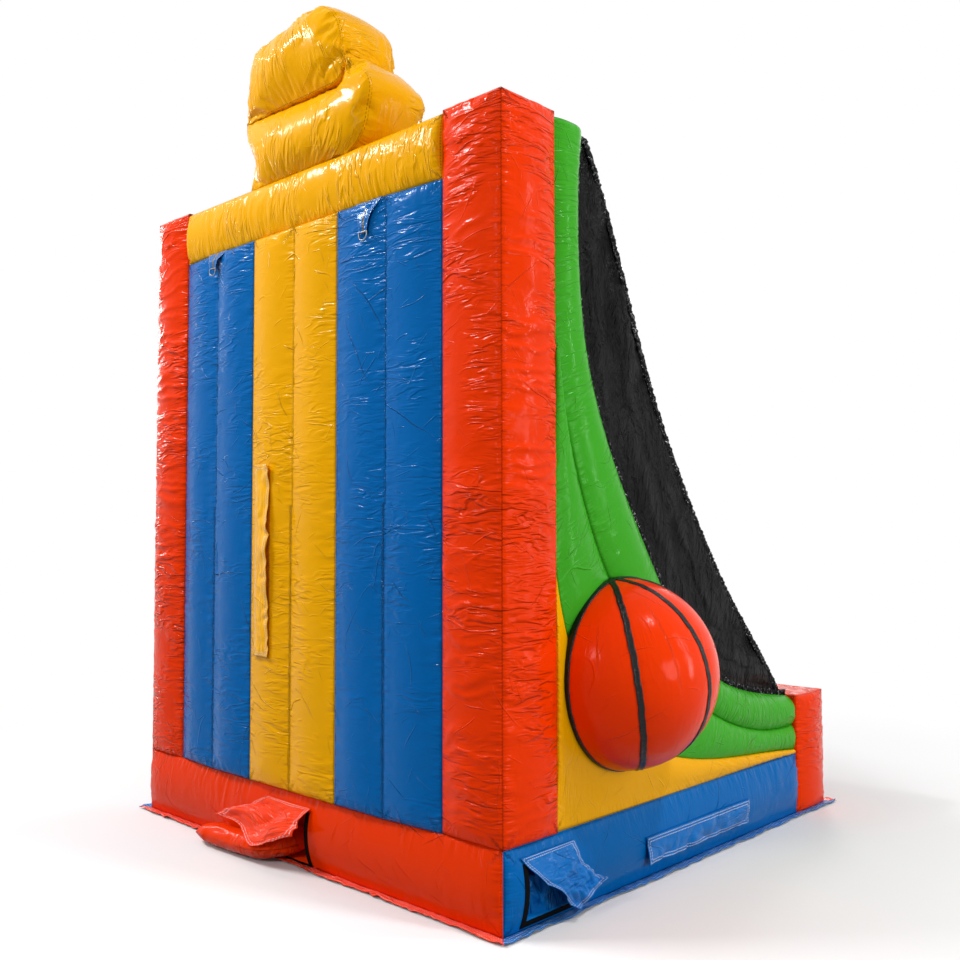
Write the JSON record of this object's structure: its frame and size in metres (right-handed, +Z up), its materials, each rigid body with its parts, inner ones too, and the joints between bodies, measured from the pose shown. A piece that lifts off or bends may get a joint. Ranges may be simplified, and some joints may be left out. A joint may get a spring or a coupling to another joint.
{
  "type": "inflatable basketball game",
  "caption": "Inflatable open-front basketball shooting booth with a tall chambered back wall, sweeping side walls, side nets, half-ball bulges, hoops and a puffed topper.",
  "frame": {"origin": "middle of the footprint, on the ground", "axes": "+X to the players' right across the game, +Y from the players to the back wall, +Z up"},
  "size_m": [3.6158, 3.0749, 4.2415],
  "materials": {
    "orange_vinyl": "glossy PVC-coated fabric, red-orange",
    "yellow_vinyl": "glossy PVC-coated fabric, yellow",
    "blue_vinyl": "glossy PVC-coated fabric, blue",
    "green_vinyl": "glossy PVC-coated fabric, green",
    "black_tape": "black vinyl tape",
    "black_mesh": "open black mesh, matte",
    "black_border": "glossy gathered black vinyl",
    "ground_vinyl": "blue ground sheet with stitched edge",
    "floor_vinyl": "smooth blue vinyl",
    "board_white": "white padded vinyl",
    "rim_steel": "orange powder coat",
    "cord_net": "white knotted cord",
    "hook_tape": "black hook and loop tape",
    "zipper": "black zipper tape",
    "zipper_metal": "nickel-plated slider",
    "tab_vinyl": "blue vinyl tab with dark webbing",
    "ring_steel": "zinc-plated welded ring"
  },
  "bodies": {
    "booth": {"back_panel_center": "yellow_vinyl", "back_panel_left": "blue_vinyl", "back_panel_right": "blue_vinyl", "ball_return_floor": "floor_vinyl", "front_barrier": "orange_vinyl", "ground_sheet": "ground_vinyl", "left_anchor_tab": "tab_vinyl", "left_backboard": "board_white", "left_ball_tapes": "black_tape", "left_base_tube": "blue_vinyl", "left_front_post": "orange_vinyl", "left_gusset_panel": "yellow_vinyl", "left_hoop_net": "cord_net", "left_hoop_rim": "rim_steel", "left_inner_curve_panel": "green_vinyl", "left_net_border": "black_border", "left_outer_curve_tube": "green_vinyl", "left_rear_column": "orange_vinyl", "left_side_ball": "orange_vinyl", "left_side_net": "black_mesh", "rear_base_tube": "orange_vinyl", "rear_blower_sleeve": "orange_vinyl", "rear_port_tape": "hook_tape", "rear_zipper_tape": "zipper", "right_anchor_tab": "tab_vinyl", "right_backboard": "board_white", "right_ball_tapes": "black_tape", "right_base_tube": "blue_vinyl", "right_front_post": "orange_vinyl", "right_gusset_panel": "yellow_vinyl", "right_hoop_net": "cord_net", "right_hoop_rim": "rim_steel", "right_inner_curve_panel": "green_vinyl", "right_net_border": "black_border", "right_outer_curve_tube": "green_vinyl", "right_rear_column": "orange_vinyl", "right_side_ball": "orange_vinyl", "right_side_net": "black_mesh", "side_blower_sleeve": "blue_vinyl", "side_port_tape": "hook_tape", "side_zipper_tape": "zipper", "top_beam": "yellow_vinyl", "topper_lower_lobe": "yellow_vinyl", "topper_upper_lobe": "yellow_vinyl"},
    "rear_port_flap": {"rear_port_flap": "orange_vinyl"},
    "side_port_flap": {"side_port_flap": "blue_vinyl"},
    "rear_zipper_flap": {"rear_zipper_flap": "yellow_vinyl"},
    "side_zipper_flap": {"side_zipper_flap": "blue_vinyl"},
    "rear_zipper_slider": {"rear_zipper_slider": "zipper_metal"},
    "side_zipper_slider": {"side_zipper_slider": "zipper_metal"},
    "left_d_ring": {"left_d_ring": "ring_steel"},
    "right_d_ring": {"right_d_ring": "ring_steel"}
  },
  "joints": [
    {"name": "rear_port_flap_hinge", "type": "hinge", "parent": "booth", "child": "rear_port_flap", "pos_m": [0.01, 1.42293, 0.29], "axis": [1, 0, 0], "range_deg": [0, 105]},
    {"name": "side_port_flap_hinge", "type": "hinge", "parent": "booth", "child": "side_port_flap", "pos_m": [-1.39479, 1.1425, 0.3], "axis": [0, 1, 0], "range_deg": [0, 105]},
    {"name": "rear_zipper_flap_hinge", "type": "hinge", "parent": "booth", "child": "rear_zipper_flap", "pos_m": [0.275, 1.45244, 1.455], "axis": [0, 0, -1], "range_deg": [0, 110]},
    {"name": "side_zipper_flap_hinge", "type": "hinge", "parent": "booth", "child": "side_zipper_flap", "pos_m": [-1.4206, 0.0175, 0.205], "axis": [0, 1, 0], "range_deg": [0, 110]},
    {"name": "rear_zipper_slide", "type": "slide", "parent": "booth", "child": "rear_zipper_slider", "axis": [0, 0, 1], "range_m": [0, 0.85]},
    {"name": "side_zipper_slide", "type": "slide", "parent": "booth", "child": "side_zipper_slider", "axis": [0, 1, 0], "range_m": [0, 0.815]},
    {"name": "left_d_ring_swing", "type": "hinge", "parent": "booth", "child": "left_d_ring", "pos_m": [-0.575, 1.4615, 2.96], "axis": [1, 0, 0], "range_deg": [0, 100]},
    {"name": "right_d_ring_swing", "type": "hinge", "parent": "booth", "child": "right_d_ring", "pos_m": [0.69, 1.4615, 3.018], "axis": [1, 0, 0], "range_deg": [0, 100]}
  ]
}
